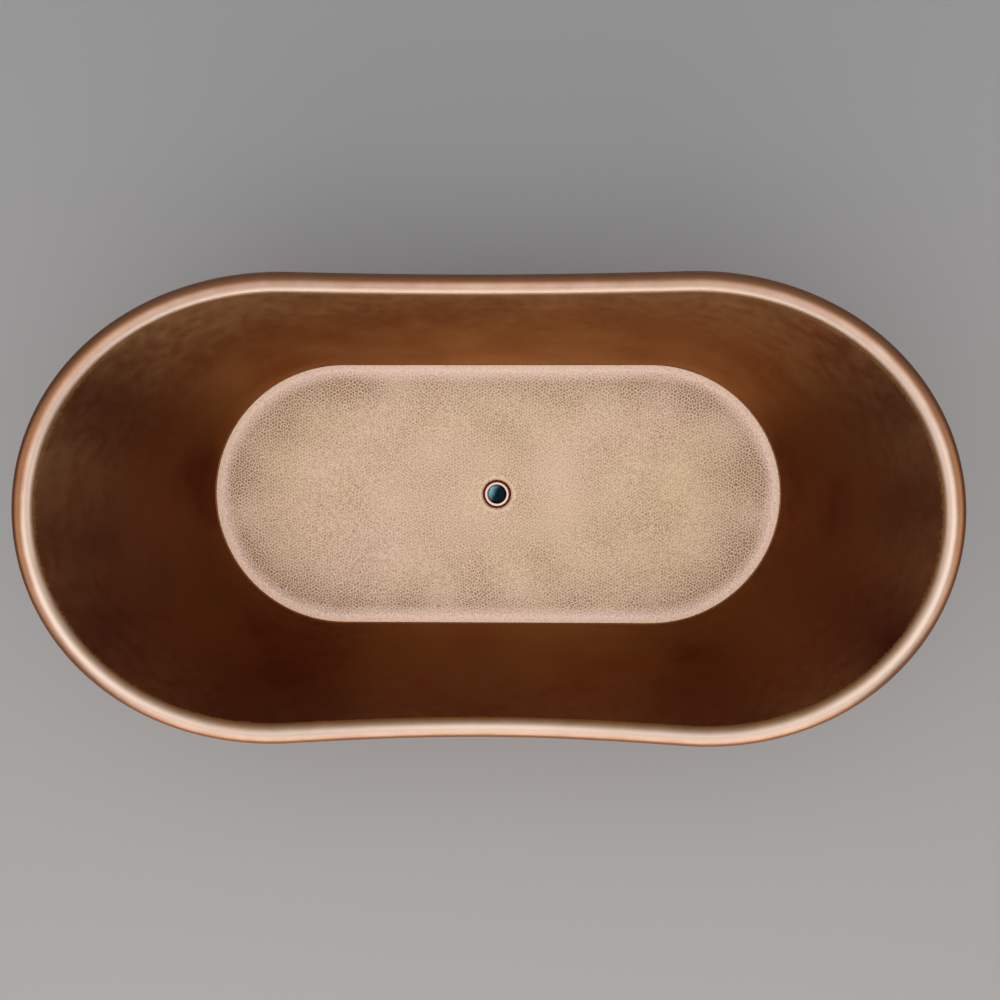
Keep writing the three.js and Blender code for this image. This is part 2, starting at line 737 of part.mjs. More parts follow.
add(
  "tail_nut",
  turned([
    [tailClearance, lipBottom],
    [wasteBore + tailNutWall, lipBottom],
    [wasteBore + tailNutWall, lipBottom + tailNutHeight],
    [wasteBore, lipBottom + tailNutHeight],
    [wasteBore, lipTop],
    [tailClearance, lipTop],
  ]),
  brass,
);

// ---- Push-to-open plug and its cartridge ----
const bossRadius = ledgeRadius - bossClearance;
const stemTop = drainHeight - plugEdgeHeight;
const stemBore = stemRadius + seat;
const cartridgeBore = cartridgeRadius - cartridgeWall;

// The plug's domed top, from its edge in to the axis.
const dome = Array.from({ length: domeLevels + 1 }, (_, i) => {
  const share = 1 - i / domeLevels;
  return [plugRadius * share, drainHeight + plugCrown * (1 - share ** 2)];
});
add(
  "plug_cap",
  turned([
    [0, stemTop + seat],
    [stemBore, stemTop + seat],
    [stemBore, ledgeBottom],
    [bossRadius, ledgeBottom],
    [bossRadius, plugSealTop + seat],
    [plugRadius, plugSealTop + seat],
    ...dome,
  ]),
  plugDark,
);
add("plug_seal", collar(bossRadius + seat, plugRadius, plugSealBottom, plugSealTop), rubber);
add(
  "plug_stem",
  turned(
    [
      [0, plungerBottom],
      [cartridgeBore - seat, plungerBottom],
      [cartridgeBore - seat, plungerTop],
      [stemRadius, plungerTop],
      [stemRadius, stemTop],
      [0, stemTop],
    ],
    padSides,
  ),
  brass,
);
add(
  "cartridge_body",
  turned(
    [
      [0, cartridgeBottom],
      [cartridgeRadius, cartridgeBottom],
      [cartridgeRadius, hubTop + seat],
      [hubRadius, hubTop + seat],
      [hubRadius, hubTop + seat + shoulderHeight],
      [cartridgeRadius, hubTop + seat + shoulderHeight],
      [cartridgeRadius, cartridgeTop],
      [stemBore, cartridgeTop],
      [stemBore, lidBottom],
      [cartridgeBore, lidBottom],
      [cartridgeBore, cavityBottom],
      [0, cavityBottom],
    ],
    padSides,
  ),
  brass,
);

// The coil spring under the plunger, pressed short while the plug is shut.
class Helix extends THREE.Curve {
  getPoint(share, target = new THREE.Vector3()) {
    const angle = 2 * Math.PI * springTurns * share;
    const radius = cartridgeBore - 2 * seat - springWire / 2;
    const margin = seat + springWire / 2;
    const height = mix(cavityBottom + margin, plungerBottom - margin, share);
    return target.set(radius * Math.cos(angle), radius * Math.sin(angle), height);
  }
}
add(
  "cartridge_spring",
  new THREE.ExtrudeGeometry(polygon(springWire / 2, 4), {
    steps: springTurns * smallSides,
    extrudePath: new Helix(),
    bevelEnabled: false,
  }),
  steel,
);

export default bath;
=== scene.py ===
import json
import math
import random

import bmesh
import bpy
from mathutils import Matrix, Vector, noise
from mathutils.geometry import interpolate_bezier

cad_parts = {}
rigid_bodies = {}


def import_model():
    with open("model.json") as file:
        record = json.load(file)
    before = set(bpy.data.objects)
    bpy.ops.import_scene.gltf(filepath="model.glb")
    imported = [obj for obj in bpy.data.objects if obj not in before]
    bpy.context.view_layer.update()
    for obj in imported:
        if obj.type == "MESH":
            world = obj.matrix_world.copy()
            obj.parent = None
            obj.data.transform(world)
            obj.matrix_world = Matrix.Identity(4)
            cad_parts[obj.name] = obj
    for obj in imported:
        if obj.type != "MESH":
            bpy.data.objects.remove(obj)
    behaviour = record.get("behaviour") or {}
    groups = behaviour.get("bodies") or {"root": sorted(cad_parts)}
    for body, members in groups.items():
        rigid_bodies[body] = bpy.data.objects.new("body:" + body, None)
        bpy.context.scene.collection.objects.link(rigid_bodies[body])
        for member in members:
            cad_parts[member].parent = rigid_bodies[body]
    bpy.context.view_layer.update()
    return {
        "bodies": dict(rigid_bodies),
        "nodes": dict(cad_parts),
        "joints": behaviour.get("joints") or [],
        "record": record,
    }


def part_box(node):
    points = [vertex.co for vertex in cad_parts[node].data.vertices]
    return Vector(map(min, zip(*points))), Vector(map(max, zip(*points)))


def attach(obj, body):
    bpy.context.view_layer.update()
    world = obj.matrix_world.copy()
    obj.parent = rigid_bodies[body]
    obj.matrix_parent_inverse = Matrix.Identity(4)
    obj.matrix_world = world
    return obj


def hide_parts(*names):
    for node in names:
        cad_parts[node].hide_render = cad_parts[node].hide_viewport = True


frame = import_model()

print("frame loaded")

# Freestanding copper bath: a hammered floor pan, dark patinated walls and a polished rolled rim,
# standing on a coved plinth that hides its steel frame, levelling feet and waste.


def linear(hexColour):
    channels = [int(hexColour[n:n + 2], 16) / 255 for n in (1, 3, 5)]
    return [c / 12.92 if c <= 0.04045 else ((c + 0.055) / 1.055) ** 2.4 for c in channels] + [1]


# Adds a node. Each input gets a plain value or the socket that feeds it.
def addNode(tree, kind, inputs=None, **settings):
    node = tree.nodes.new(kind)
    for setting, value in settings.items():
        setattr(node, setting, value)
    for socket, value in (inputs or {}).items():
        if isinstance(value, bpy.types.NodeSocket):
            tree.links.new(value, node.inputs[socket])
        else:
            node.inputs[socket].default_value = value
    return node


def addObject(name, data):
    thing = bpy.data.objects.new(name, data)
    bpy.context.scene.collection.objects.link(thing)
    return thing


def clamp(value):
    return min(max(value, 0), 1)


def newMaterial(name, **shaderInputs):
    material = bpy.data.materials.new(name)
    material.use_nodes = True
    tree = material.node_tree
    shader = tree.nodes["Principled BSDF"]
    for socket, value in shaderInputs.items():
        shader.inputs[socket.replace("_", " ")].default_value = value
    place = addNode(tree, "ShaderNodeTexCoord").outputs["Object"]
    return material, tree, shader, place


# camera, lights and floor: places in metres, tilt in degrees, lens in millimetres
cameraPlace = {"eye": (0.135, 0.212, 4.0), "tilt": (-3.31, 1.88, 0.03), "lens": 60.55}
lights = {
    # name: place, point aimed at, size, radiance, colour
    "topSoftbox": ((-0.25, 0.2, 5.2), (-0.25, 0.2, 0), (4.8, 4.6), 0.9, "#ffffff"),
    "nearSoftbox": ((-0.1, -3.1, 2.1), (0, 0, 0.6), (4.5, 3.6), 0.7, "#fff4e8"),
    "lowStrip": ((-0.1, -3.2, 0.95), (0, 0, 0.7), (4.5, 0.6), 1.6, "#fff2e4"),
    "leftSoftbox": ((-3.4, -0.4, 2.4), (0, 0, 0.7), (3.0, 2.4), 1.0, "#fffaf5"),
    "rightSoftbox": ((3.4, -0.4, 2.4), (0, 0, 0.7), (3.0, 2.4), 1.0, "#fffaf5"),
}
surroundings = {"colour": "#c8c8cc", "strength": 0.5}
# Matt grey paint on the floor: even and without shine, so that only the bath's shadow shows on it.
paintedFloor = {"size": 40, "colour": "#bcbcbc", "roughness": 0.9}

cameraData = bpy.data.cameras.new("camera")
cameraData.lens = cameraPlace["lens"]
camera = addObject("camera", cameraData)
camera.location = cameraPlace["eye"]
camera.rotation_euler = [math.radians(turn) for turn in cameraPlace["tilt"]]
bpy.context.scene.camera = camera

for name, (place, aim, size, strength, colour) in lights.items():
    lamp = bpy.data.lights.new(name, "AREA")
    lamp.shape = "RECTANGLE"
    lamp.size, lamp.size_y = size
    lamp.color = linear(colour)[:3]
    # an area lamp shines with a radiance of its power over pi and its area
    lamp.energy = strength * math.pi * size[0] * size[1]
    holder = addObject(name, lamp)
    holder.location = place
    holder.visible_camera = False
    holder.rotation_euler = (Vector(aim) - Vector(place)).to_track_quat("-Z", "Y").to_euler()

world = bpy.data.worlds.new("surroundings")
bpy.context.scene.world = world
world.use_nodes = True
world.node_tree.nodes["Background"].inputs["Color"].default_value = linear(surroundings["colour"])
world.node_tree.nodes["Background"].inputs["Strength"].default_value = surroundings["strength"]
bpy.context.scene.view_settings.view_transform = "Standard"

groundMesh = bmesh.new()
bmesh.ops.create_grid(groundMesh, x_segments=1, y_segments=1, size=paintedFloor["size"] / 2)
groundData = bpy.data.meshes.new("ground")
groundMesh.to_mesh(groundData)
groundMesh.free()
ground = addObject("ground", groundData)
paint, _, _, _ = newMaterial("mattPaint", Base_Color=linear(paintedFloor["colour"]),
                             Roughness=paintedFloor["roughness"])
groundData.materials.append(paint)
print("camera, lights and floor ready")

# Patterns in the materials are sized in millimetres. A noise mostly stays between these two values.
noiseLow, noiseHigh = 0.3, 0.7

# Antique copper: sheet darkened with liver of sulphur, rubbed back by hand and waxed. The eye gets
# a warm deep brown with soft clouds, and a satin sheen where it turns to the light.
agedCopper = {
    # The darkest brown serves both for the torch's smoke on the outer faces and for painted shade on the
    # inner walls; the palest is painted light on the far wall.
    "dark": "#b07550", "warm": "#d8a875", "smoke": "#66382e", "rubbed": "#f0c088", "bare": "#d2a670",
    "edgeTint": "#e0b890",
    "cloud": 240, "mottle": 28, "grain": 2.4, "raggedGrain": 8,
    "mottleShare": 0.35, "warmFrom": 0.5, "warmTo": 0.85,
    "smokeLeast": 0.6, "smokeClouds": 0.8, "outerSmoke": 0.75,
    "fade": 0.01, "ragged": 0.022,  # metres down from the rim
    "metallic": 0.9, "roughness": 0.43, "smoother": 0.05, "rougher": 0.06, "outerPolish": 0.14,
    "grainRelief": 0.12, "relief": 0.3, "reliefDepth": 0.5,
}


def makeAgedCopper():
    material, tree, shader, place = newMaterial("agedCopper", Metallic=agedCopper["metallic"],
                                                Specular_Tint=linear(agedCopper["edgeTint"]))
    clouds = addNode(tree, "ShaderNodeTexNoise", {
        "Vector": place, "Scale": 1000 / agedCopper["cloud"], "Detail": 3}).outputs["Fac"]
    mottle = addNode(tree, "ShaderNodeTexNoise", {
        "Vector": place, "Scale": 1000 / agedCopper["mottle"], "Detail": 5}).outputs["Fac"]
    grain = addNode(tree, "ShaderNodeTexNoise", {
        "Vector": place, "Scale": 1000 / agedCopper["grain"], "Detail": 2}).outputs["Fac"]
    blend = addNode(tree, "ShaderNodeMath", {
        0: mottle, 1: agedCopper["mottleShare"], 2: clouds}, operation="MULTIPLY_ADD")
    warmth = addNode(tree, "ShaderNodeMapRange", {
        "Value": blend.outputs[0], "From Min": agedCopper["warmFrom"], "From Max": agedCopper["warmTo"]})
    brown = addNode(tree, "ShaderNodeMix", {
        0: warmth.outputs[0], 6: linear(agedCopper["dark"]), 7: linear(agedCopper["warm"])},
        data_type="RGBA").outputs[2]
    # the outer faces had more of the torch and more wax
    outside = addNode(tree, "ShaderNodeAttribute", attribute_name="outside").outputs["Fac"]
    # on the inner walls the places listed with the wall add painted shade, and painted light where their
    # sum is below nought
    smoke = addNode(tree, "ShaderNodeMath", {
        0: outside, 1: agedCopper["outerSmoke"],
        2: addNode(tree, "ShaderNodeAttribute", attribute_name="smoke").outputs["Fac"]},
        operation="MULTIPLY_ADD").outputs[0]
    uneven = addNode(tree, "ShaderNodeMath", {
        0: clouds, 1: agedCopper["smokeClouds"], 2: agedCopper["smokeLeast"]}, operation="MULTIPLY_ADD")
    smokedAndShaded = addNode(tree, "ShaderNodeMath", {0: uneven.outputs[0], 1: smoke}, operation="MULTIPLY")
    brown = addNode(tree, "ShaderNodeMix", {
        0: smokedAndShaded.outputs[0], 6: brown, 7: linear(agedCopper["smoke"])}, data_type="RGBA").outputs[2]
    # painted light: where the sum falls below nought the wall turns to its palest colour
    rubbed = addNode(tree, "ShaderNodeMapRange", {"Value": smoke, "From Min": 0, "From Max": -1})
    brown = addNode(tree, "ShaderNodeMix", {
        0: rubbed.outputs[0], 6: brown, 7: linear(agedCopper["rubbed"])}, data_type="RGBA").outputs[2]
    # beside the rim the polish breaks into the patina along a speckled edge
    toRim = addNode(tree, "ShaderNodeAttribute", attribute_name="toRim").outputs["Fac"]
    flecks = addNode(tree, "ShaderNodeTexNoise", {
        "Vector": place, "Scale": 1000 / agedCopper["raggedGrain"], "Detail": 3}).outputs["Fac"]
    ragged = addNode(tree, "ShaderNodeMath", {
        0: flecks, 1: agedCopper["ragged"], 2: toRim}, operation="MULTIPLY_ADD")
    polish = addNode(tree, "ShaderNodeMapRange", {
        "Value": ragged.outputs[0], "From Min": agedCopper["ragged"] / 2,
        "From Max": agedCopper["ragged"] / 2 + agedCopper["fade"], "To Min": 1, "To Max": 0})
    colour = addNode(tree, "ShaderNodeMix", {
        0: polish.outputs[0], 6: brown, 7: linear(agedCopper["bare"])}, data_type="RGBA").outputs[2]
    rough = addNode(tree, "ShaderNodeMapRange", {
        "Value": mottle, "From Min": noiseLow, "From Max": noiseHigh,
        "To Min": agedCopper["roughness"] - agedCopper["smoother"],
        "To Max": agedCopper["roughness"] + agedCopper["rougher"]})
    rough = addNode(tree, "ShaderNodeMath", {
        0: outside, 1: -agedCopper["outerPolish"], 2: rough.outputs[0]}, operation="MULTIPLY_ADD")
    relief = addNode(tree, "ShaderNodeMath", {
        0: grain, 1: agedCopper["grainRelief"], 2: mottle}, operation="MULTIPLY_ADD")
    bump = addNode(tree, "ShaderNodeBump", {
        "Height": relief.outputs[0], "Strength": agedCopper["relief"],
        "Distance": agedCopper["reliefDepth"] / 1000})
    tree.links.new(colour, shader.inputs["Base Color"])
    tree.links.new(rough.outputs[0], shader.inputs["Roughness"])
    tree.links.new(bump.outputs["Normal"], shader.inputs["Normal"])
    return material


# Polished copper: the rolled rim, buffed along its crown and left browner down its flanks. The eye gets a
# pale pink-gold line that falls away to orange-brown on both sides, partly real buffing and partly painted
# highlight and shade, as the pale crown is turned to the lamps.
polishedCopper = {
    # the pale crown colour and the darker flank and edge colours carry painted highlight and painted shade
    # as well as the buffing and patina
    "crown": "#fadfcc", "inner": "#b88f58", "outer": "#b9835e", "edge": "#7e4c2e",
    # degrees round the roll from its crown, and how far the noises shift them
    "crownHalf": 2, "flankTurn": 46, "edgeTurn": 90, "patchTurn": 16, "speckleTurn": 24,
    "sideBlend": 0.05,  # radians each way from the crown, over which one flank gives way to the other
    "innerShare": 0.65, "patch": 45, "speckle": 3, "roughness": 0.42, "flankRoughness": 0.62,
    "speckleRelief": 0.06, "relief": 0.35, "reliefDepth": 0.5,
}


def makePolishedCopper():
    material, tree, shader, place = newMaterial("polishedCopper", Metallic=1.0)
    fromCrown = addNode(tree, "ShaderNodeAttribute", attribute_name="fromCrown").outputs["Fac"]
    patches = addNode(tree, "ShaderNodeTexNoise", {
        "Vector": place, "Scale": 1000 / polishedCopper["patch"], "Detail": 4}).outputs["Fac"]
    speckle = addNode(tree, "ShaderNodeTexNoise", {
        "Vector": place, "Scale": 1000 / polishedCopper["speckle"], "Detail": 2}).outputs["Fac"]
    # the pale crown reaches further down the inner side of the roll than down the outer side, a painted
    # highlight on the inner flank
    inner = addNode(tree, "ShaderNodeMath", {
        0: fromCrown, 1: polishedCopper["innerShare"]}, operation="MULTIPLY")
    outer = addNode(tree, "ShaderNodeMath", {0: fromCrown, 1: -1}, operation="MULTIPLY")
    off = addNode(tree, "ShaderNodeMath", {0: inner.outputs[0], 1: outer.outputs[0]}, operation="MAXIMUM")
    uneven = addNode(tree, "ShaderNodeMath", {
        0: patches, 1: math.radians(polishedCopper["patchTurn"]), 2: off.outputs[0]},
        operation="MULTIPLY_ADD")
    speckled = addNode(tree, "ShaderNodeMath", {
        0: speckle, 1: math.radians(polishedCopper["speckleTurn"]), 2: uneven.outputs[0]},
        operation="MULTIPLY_ADD")
    side = addNode(tree, "ShaderNodeMapRange", {
        "Value": fromCrown, "From Min": -polishedCopper["sideBlend"],
        "From Max": polishedCopper["sideBlend"]})
    flank = addNode(tree, "ShaderNodeMix", {
        0: side.outputs[0], 6: linear(polishedCopper["outer"]), 7: linear(polishedCopper["inner"])},
        data_type="RGBA").outputs[2]
    # a noise adds half its shift on average, which the limits below allow for
    patchShift = polishedCopper["patchTurn"] / 2
    bothShift = patchShift + polishedCopper["speckleTurn"] / 2
    toFlank = addNode(tree, "ShaderNodeMapRange", {
        "Value": uneven.outputs[0], "From Min": math.radians(polishedCopper["crownHalf"] + patchShift),
        "From Max": math.radians(polishedCopper["flankTurn"] + patchShift)},
        interpolation_type="SMOOTHSTEP")
    toEdge = addNode(tree, "ShaderNodeMapRange", {
        "Value": speckled.outputs[0], "From Min": math.radians(polishedCopper["flankTurn"] + bothShift),
        "From Max": math.radians(polishedCopper["edgeTurn"] + bothShift)})
    buffed = addNode(tree, "ShaderNodeMix", {
        0: toFlank.outputs[0], 6: linear(polishedCopper["crown"]), 7: flank},
        data_type="RGBA").outputs[2]
    colour = addNode(tree, "ShaderNodeMix", {
        0: toEdge.outputs[0], 6: buffed, 7: linear(polishedCopper["edge"])},
        data_type="RGBA").outputs[2]
    rough = addNode(tree, "ShaderNodeMapRange", {
        "Value": inner.outputs[0], "From Min": 0, "From Max": math.radians(polishedCopper["flankTurn"]),
        "To Min": polishedCopper["roughness"], "To Max": polishedCopper["flankRoughness"]})
    relief = addNode(tree, "ShaderNodeMath", {
        0: speckle, 1: polishedCopper["speckleRelief"], 2: patches}, operation="MULTIPLY_ADD")
    bump = addNode(tree, "ShaderNodeBump", {
        "Height": relief.outputs[0], "Strength": polishedCopper["relief"],
        "Distance": polishedCopper["reliefDepth"] / 1000})
    tree.links.new(colour, shader.inputs["Base Color"])
    tree.links.new(rough.outputs[0], shader.inputs["Roughness"])
    tree.links.new(bump.outputs["Normal"], shader.inputs["Normal"])
    return material


# Hammered copper: the floor pan, planished with a small ball hammer and polished pale. The eye gets a
# light honeycomb of ridges over small darker pits, whose dark is painted shade, and a greyer tone in a
# ring near the edge.
hammeredCopper = {
    "rose": "#e3c1a8", "straw": "#dcc19c", "pit": "#98775e", "tarnish": "#dabfaa", "band": "#eacabb",
    "lip": "#a86c48", "drift": 260, "patch": 34, "grain": 4.2,
    "strawFrom": 0.35, "strawTo": 0.65, "patchShare": 0.5, "dullFrom": 0.15, "dullTo": 1.9,
    # shade is painted into the dish between these shares of the way from a ridge to the middle of its mark
    "ridgeTop": 0.04, "ridge": 0.42,
    "specks": 0.9, "roughness": 0.36, "smoother": 0.04, "rougher": 0.06,
}


def makeHammeredCopper():
    material, tree, shader, place = newMaterial("hammeredCopper", Metallic=1.0)
    drift = addNode(tree, "ShaderNodeTexNoise", {
        "Vector": place, "Scale": 1000 / hammeredCopper["drift"], "Detail": 3}).outputs["Fac"]
    patches = addNode(tree, "ShaderNodeTexNoise", {
        "Vector": place, "Scale": 1000 / hammeredCopper["patch"], "Detail": 4}).outputs["Fac"]
    grain = addNode(tree, "ShaderNodeTexNoise", {
        "Vector": place, "Scale": 1000 / hammeredCopper["grain"], "Detail": 2}).outputs["Fac"]
    # the dish of each mark is painted darker as the shade in it, and the ridges between marks keep the
    # plain tone
    dish = addNode(tree, "ShaderNodeMapRange", {
        "Value": addNode(tree, "ShaderNodeAttribute", attribute_name="pit").outputs["Fac"],
        "From Min": hammeredCopper["ridgeTop"], "From Max": hammeredCopper["ridge"]},
        interpolation_type="SMOOTHSTEP")
    depth = addNode(tree, "ShaderNodeMath", {
        0: dish.outputs[0],
        1: addNode(tree, "ShaderNodeAttribute", attribute_name="marked").outputs["Fac"]},
        operation="MULTIPLY").outputs[0]
    # a greyer tone in a ring just inside the plain band, strongest a few centimetres in, and in random
    # patches
    tarnish = addNode(tree, "ShaderNodeAttribute", attribute_name="tarnish").outputs["Fac"]
    hue = addNode(tree, "ShaderNodeMapRange", {
        "Value": drift, "From Min": hammeredCopper["strawFrom"], "From Max": hammeredCopper["strawTo"]})
    tone = addNode(tree, "ShaderNodeMix", {
        0: hue.outputs[0], 6: linear(hammeredCopper["rose"]), 7: linear(hammeredCopper["straw"])},
        data_type="RGBA").outputs[2]
    cloudy = addNode(tree, "ShaderNodeMath", {
        0: patches, 1: hammeredCopper["patchShare"], 2: tarnish}, operation="MULTIPLY_ADD")
    dull = addNode(tree, "ShaderNodeMapRange", {
        "Value": cloudy.outputs[0], "From Min": hammeredCopper["dullFrom"],
        "From Max": hammeredCopper["dullTo"]})
    tone = addNode(tree, "ShaderNodeMix", {
        0: dull.outputs[0], 6: tone, 7: linear(hammeredCopper["tarnish"])},
        data_type="RGBA").outputs[2]
    # the plain band round the field keeps its polish, and the patina of the wall runs onto its lip
    edge = addNode(tree, "ShaderNodeAttribute", attribute_name="edge").outputs["Fac"]
    plain = addNode(tree, "ShaderNodeMapRange", {"Value": edge, "From Min": 0, "From Max": 1})
    lip = addNode(tree, "ShaderNodeMapRange", {"Value": edge, "From Min": 1, "From Max": 2})
    tone = addNode(tree, "ShaderNodeMix", {
        0: plain.outputs[0], 6: tone, 7: linear(hammeredCopper["band"])}, data_type="RGBA").outputs[2]
    # fine scratches and specks darken and lighten the painted shade of the pits at random, by the same
    # amount on the whole
    specks = addNode(tree, "ShaderNodeMath", {
        0: grain, 1: hammeredCopper["specks"], 2: -hammeredCopper["specks"] / 2}, operation="MULTIPLY_ADD")
    specked = addNode(tree, "ShaderNodeMath", {0: specks.outputs[0], 1: depth}, operation="ADD",
                      use_clamp=True)
    colour = addNode(tree, "ShaderNodeMix", {
        0: specked.outputs[0], 6: tone, 7: linear(hammeredCopper["pit"])}, data_type="RGBA").outputs[2]
    colour = addNode(tree, "ShaderNodeMix", {
        0: lip.outputs[0], 6: colour, 7: linear(hammeredCopper["lip"])}, data_type="RGBA").outputs[2]
    rough = addNode(tree, "ShaderNodeMapRange", {
        "Value": grain, "From Min": noiseLow, "From Max": noiseHigh,
        "To Min": hammeredCopper["roughness"] - hammeredCopper["smoother"],
        "To Max": hammeredCopper["roughness"] + hammeredCopper["rougher"]})
    tree.links.new(colour, shader.inputs["Base Color"])
    tree.links.new(rough.outputs[0], shader.inputs["Roughness"])
    return material


# Black nickel plate over polished brass, on the plug: a nearly black mirror, with a blue reflection
# painted over one side.
blackNickel = {
    "deep": "#0f1b21", "light": "#74a2ac", "smear": 20,
    # direction of the painted reflection in degrees, and where it starts, spreads and wavers in
    # millimetres
    "turnedTo": 150, "bloomFrom": 6, "spread": 20, "smearShift": 12,
    "roughness": 0.12, "smoother": 0.03, "rougher": 0.04,
}


def makeBlackNickel():
    material, tree, shader, place = newMaterial("blackNickel", Metallic=1.0)
    smear = addNode(tree, "ShaderNodeTexNoise", {
        "Vector": place, "Scale": 1000 / blackNickel["smear"], "Detail": 3}).outputs["Fac"]
    # a reflection of a light is painted in pale blue over one side of the plate
    side = math.radians(blackNickel["turnedTo"])
    along = addNode(tree, "ShaderNodeVectorMath", {
        0: place, 1: (math.cos(side), math.sin(side), 0)}, operation="DOT_PRODUCT").outputs["Value"]
    paintedReflection = addNode(tree, "ShaderNodeMath", {
        0: smear, 1: blackNickel["smearShift"] / 1000, 2: along}, operation="MULTIPLY_ADD")
    share = addNode(tree, "ShaderNodeMapRange", {
        "Value": paintedReflection.outputs[0], "From Min": blackNickel["bloomFrom"] / 1000,
        "From Max": (blackNickel["bloomFrom"] + blackNickel["spread"]) / 1000},
        interpolation_type="SMOOTHSTEP")
    colour = addNode(tree, "ShaderNodeMix", {
        0: share.outputs[0], 6: linear(blackNickel["deep"]), 7: linear(blackNickel["light"])},
        data_type="RGBA").outputs[2]
    rough = addNode(tree, "ShaderNodeMapRange", {
        "Value": smear, "From Min": noiseLow, "From Max": noiseHigh,
        "To Min": blackNickel["roughness"] - blackNickel["smoother"],
        "To Max": blackNickel["roughness"] + blackNickel["rougher"]})
    tree.links.new(colour, shader.inputs["Base Color"])
    tree.links.new(rough.outputs[0], shader.inputs["Roughness"])
    return material


# The plainer finishes share one way of mixing: light and dark colour, metallic, roughness, surface
# shine, grain in millimetres and how deep that grain feels in millimetres.
plainFinishes = {
    "wasteCopper": ("#eed2c2", "#e2bfaa", 1.0, 0.22, 0.5, 4, 0.05),  # turned and polished, bright
    "turnedBrass": ("#c9a960", "#a98a48", 1.0, 0.3, 0.5, 2, 0.1),  # machined bar, fine tool marks
    "coreSteel": ("#a9adb0", "#8c9094", 1.0, 0.4, 0.5, 5, 0.1),  # drawn tube, dull
    "paintedSteel": ("#505356", "#434649", 0.0, 0.5, 0.5, 3, 0.2),  # powder coat, slight orange peel
    "zincSteel": ("#b9bdc0", "#9a9fa4", 1.0, 0.34, 0.5, 3, 0.05),  # zinc plate, cloudy grey
    "blackRubber": ("#202020", "#161616", 0.0, 0.75, 0.3, 2, 0.2),  # moulded rubber, matt
    "redSeal": ("#8a3414", "#762a0e", 0.0, 0.7, 0.1, 2, 0.1),  # red-brown rubber, dusty and dull
}
plainGrain = {"smoother": 0.04, "rougher": 0.06, "relief": 0.5}


def makePlain(name):
    light, dark, metallic, roughness, shine, grainSize, feel = plainFinishes[name]
    material, tree, shader, place = newMaterial(name, Metallic=metallic, Specular_IOR_Level=shine)
    grain = addNode(tree, "ShaderNodeTexNoise", {
        "Vector": place, "Scale": 1000 / grainSize, "Detail": 4}).outputs["Fac"]
    share = addNode(tree, "ShaderNodeMapRange", {
        "Value": grain, "From Min": noiseLow, "From Max": noiseHigh})
    colour = addNode(tree, "ShaderNodeMix", {
        0: share.outputs[0], 6: linear(dark), 7: linear(light)}, data_type="RGBA").outputs[2]
    rough = addNode(tree, "ShaderNodeMapRange", {
        "Value": grain, "From Min": noiseLow, "From Max": noiseHigh,
        "To Min": roughness + plainGrain["rougher"], "To Max": roughness - plainGrain["smoother"]})
    bump = addNode(tree, "ShaderNodeBump", {
        "Height": grain, "Strength": plainGrain["relief"], "Distance": feel / 1000})
    tree.links.new(colour, shader.inputs["Base Color"])
    tree.links.new(rough.outputs[0], shader.inputs["Roughness"])
    tree.links.new(bump.outputs["Normal"], shader.inputs["Normal"])
    return material


finishes = {name: makePlain(name) for name in plainFinishes}
finishes["agedCopper"] = makeAgedCopper()
finishes["polishedCopper"] = makePolishedCopper()
finishes["hammeredCopper"] = makeHammeredCopper()
finishes["blackNickel"] = makeBlackNickel()
print("materials ready")


# Makes an object of a finished mesh, in the place of the CAD nodes that it stands for.
def finishPiece(name, mesh, finish, slot, body, *nodes, smoothTo=35):
    data = bpy.data.meshes.new(name)
    mesh.to_mesh(data)
    mesh.free()
    data.materials.append(finishes[finish])
    data.shade_smooth()
    data.set_sharp_from_angle(angle=math.radians(smoothTo))
    piece = addObject(name, data)
    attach(piece, body)
    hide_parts(*nodes)


# Pulls a ring of edges from level to level. lines holds one list of points for each station, and
# marks one list of numbers for each station, which the material reads by their name.
def pullRings(lines, closed=False, markName=None, marks=()):
    mesh = bmesh.new()
    number = mesh.verts.layers.int.new("station")
    mark = mesh.verts.layers.float.new(markName) if markName else None
    ring = bmesh.ops.create_circle(mesh, segments=len(lines), radius=1)["verts"]
    for n, vert in enumerate(ring):
        vert[number] = n
    first = last = mesh.edges[:]
    for level in range(len(lines[0])):
        if level:
            pulled = bmesh.ops.extrude_edge_only(mesh, edges=last)["geom"]
            ring = [part for part in pulled if isinstance(part, bmesh.types.BMVert)]
            last = [part for part in pulled if isinstance(part, bmesh.types.BMEdge)]
        for vert in ring:
            vert.co = lines[vert[number]][level]
            if mark:
                vert[mark] = marks[vert[number]][level]
    if closed:
        bmesh.ops.bridge_loops(mesh, edges=first + last)
        bmesh.ops.recalc_face_normals(mesh, faces=mesh.faces)
    return mesh, first, last


# Gives a sheet its thickness behind the faces that the rings drew.
def thicken(mesh, thickness):
    bmesh.ops.reverse_faces(mesh, faces=mesh.faces)
    bmesh.ops.solidify(mesh, geom=mesh.faces[:], thickness=thickness)
    bmesh.ops.recalc_face_normals(mesh, faces=mesh.faces)


# The plan: the rim, the wall, the pan and the plinth all take their stations round the same oval.
plan = {"stationsPerEnd": 96, "stationsPerSide": 64}
stations = []
for half in (1, -1):
    stations += [(half, "end", n / plan["stationsPerEnd"] - 0.5) for n in range(plan["stationsPerEnd"])]
    stations += [(half, "side", 1 - 2 * n / plan["stationsPerSide"])
                 for n in range(plan["stationsPerSide"])]


# The point and outward normal, at a station, of an oval with half-ellipse ends.
def ovalAt(station, halfLength, halfWidth, stretch=1):
    half, part, share = station
    reach = halfWidth * stretch
    straight = halfLength - reach
    if part == "side":
        point, normal = Vector((straight * share, halfWidth, 0)), Vector((0, 1, 0))
    else:
        angle = math.pi * share
        point = Vector((straight + reach * math.cos(angle), halfWidth * math.sin(angle), 0))
        normal = Vector((math.cos(angle) / reach, math.sin(angle) / halfWidth, 0)).normalized()
    return point * half, normal * half


